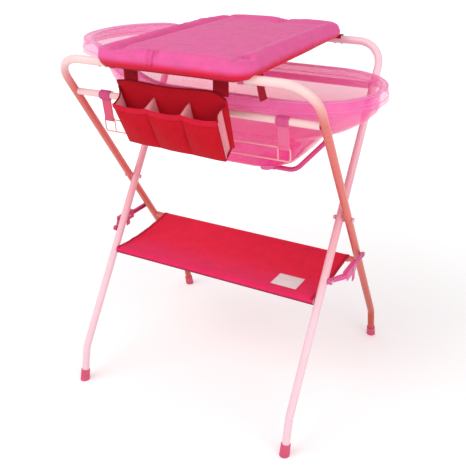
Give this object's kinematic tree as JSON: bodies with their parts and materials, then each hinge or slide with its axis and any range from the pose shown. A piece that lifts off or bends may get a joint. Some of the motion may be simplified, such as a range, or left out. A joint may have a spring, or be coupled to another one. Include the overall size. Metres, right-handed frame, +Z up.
{
  "type": "folding changing table with bathtub",
  "caption": "Folding X-frame changing table with a translucent baby bathtub under a padded flip-up mat, hung pocket organiser, towel rack and fabric shelf.",
  "frame": {"origin": "on the floor under the middle of the stand, bottom centre of the bounding box", "axes": "+X along the top bars to the right, +Y to the back, +Z up"},
  "size_m": [0.792, 0.6228, 0.9446],
  "materials": {
    "pale_pink_paint": "gloss powder coat",
    "coral_paint": "gloss powder coat",
    "light_pink_paint": "gloss powder coat",
    "foot_plastic": "moulded plastic",
    "steel": "zinc plated",
    "spacer_plastic": "moulded plastic",
    "stay_plastic": "moulded plastic",
    "tub_plastic": "translucent moulded plastic",
    "drain_plastic": "moulded plastic",
    "hose_plastic": "soft hose",
    "mat_cover": "smooth wipe-clean cloth over foam",
    "board_wood": "hardboard",
    "clip_plastic": "moulded plastic",
    "dark_webbing": "woven webbing",
    "bag_fabric": "woven polyester",
    "pink_wire": "coated wire",
    "shelf_cloth": "woven polyester",
    "patch_cloth": "woven cloth"
  },
  "bodies": {
    "rear_frame": {"rear_top_bar": "pale_pink_paint", "rear_bar_rivets": "steel", "rear_frame_left_leg": "light_pink_paint", "rear_frame_right_leg": "light_pink_paint", "rear_tub_rail": "pale_pink_paint", "shelf_front_tube": "pale_pink_paint", "front_left_foot_cap": "foot_plastic", "front_right_foot_cap": "foot_plastic", "pivot_bolts": "steel", "pivot_nuts": "steel", "pivot_spacers": "spacer_plastic", "shelf_fabric": "shelf_cloth", "shelf_patch": "patch_cloth"},
    "front_frame": {"front_top_bar": "pale_pink_paint", "front_bar_rivets": "steel", "front_frame_left_leg": "coral_paint", "front_frame_right_leg": "coral_paint", "front_tub_rail": "pale_pink_paint", "shelf_rear_tube": "pale_pink_paint", "rear_left_foot_cap": "foot_plastic", "rear_right_foot_cap": "foot_plastic", "stay_studs": "steel", "bag_back_panel": "bag_fabric", "bag_binding": "dark_webbing", "bag_pockets": "bag_fabric", "bag_straps": "dark_webbing", "rack_clips": "clip_plastic", "wire_rack": "pink_wire"},
    "stay_rear_left": {"stay_rear_left": "stay_plastic"},
    "stay_front_left": {"stay_front_left": "stay_plastic", "stay_middle_pin_left": "steel", "stay_end_pin_left": "steel"},
    "stay_rear_right": {"stay_rear_right": "stay_plastic"},
    "stay_front_right": {"stay_front_right": "stay_plastic", "stay_middle_pin_right": "steel", "stay_end_pin_right": "steel"},
    "tub": {"tub_shell": "tub_plastic", "drain_fitting": "drain_plastic", "drain_nut": "drain_plastic", "drain_hose": "hose_plastic", "hose_cap": "hose_plastic"},
    "drain_plug": {"drain_plug": "drain_plastic"},
    "mat_hinges": {"mat_hinge_saddles": "clip_plastic"},
    "mat": {"mat_pad": "mat_cover", "mat_board": "board_wood", "mat_front_hooks": "clip_plastic", "mat_rear_sleeves": "dark_webbing", "mat_tie_strap": "dark_webbing"}
  },
  "joints": [
    {"name": "frame_fold", "type": "hinge", "parent": "rear_frame", "child": "front_frame", "pos_m": [0, 0, 0.51289], "axis": [-1, 0, 0], "range_deg": [0, 58], "deforming": ["shelf_fabric", "shelf_patch"]},
    {"name": "stay_rear_left_turn", "type": "hinge", "parent": "front_frame", "child": "stay_rear_left", "pos_m": [-0.3488, 0.08809, 0.37999], "axis": [-1, 0, 0], "range_deg": [0, 52.82]},
    {"name": "stay_front_left_turn", "type": "hinge", "parent": "stay_rear_left", "child": "stay_front_left", "pos_m": [-0.3488, 0, 0.37999], "axis": [-1, 0, 0], "range_deg": [-163.58, 0]},
    {"name": "stay_rear_right_turn", "type": "hinge", "parent": "front_frame", "child": "stay_rear_right", "pos_m": [0.3488, 0.08809, 0.37999], "axis": [-1, 0, 0], "range_deg": [0, 52.82]},
    {"name": "stay_front_right_turn", "type": "hinge", "parent": "stay_rear_right", "child": "stay_front_right", "pos_m": [0.3488, 0, 0.37999], "axis": [-1, 0, 0], "range_deg": [-163.58, 0]},
    {"name": "tub_lift", "type": "slide", "parent": "rear_frame", "child": "tub", "axis": [0, 0.2756, 0.9613], "range_m": [0, 0.76]},
    {"name": "mat_lift", "type": "slide", "parent": "rear_frame", "child": "mat_hinges", "axis": [0, 0.2756, 0.9613], "range_m": [0, 0.76]},
    {"name": "mat_flip", "type": "hinge", "parent": "mat_hinges", "child": "mat", "pos_m": [0, 0.2566, 0.9], "axis": [-1, 0, 0], "range_deg": [0, 100]},
    {"name": "drain_plug_pull", "type": "slide", "parent": "tub", "child": "drain_plug", "axis": [0, 0, 1], "range_m": [0, 0.02]}
  ],
  "couplings": [
    {"joint": "stay_rear_left_turn", "follows": "frame_fold", "ratio": 0.90975},
    {"joint": "stay_front_left_turn", "follows": "frame_fold", "ratio": -2.8195},
    {"joint": "stay_rear_right_turn", "follows": "frame_fold", "ratio": 0.90975},
    {"joint": "stay_front_right_turn", "follows": "frame_fold", "ratio": -2.8195},
    {"joint": "tub_lift", "follows": "frame_fold", "m_per_rad": 0.75},
    {"joint": "mat_lift", "follows": "frame_fold", "m_per_rad": 0.75}
  ]
}
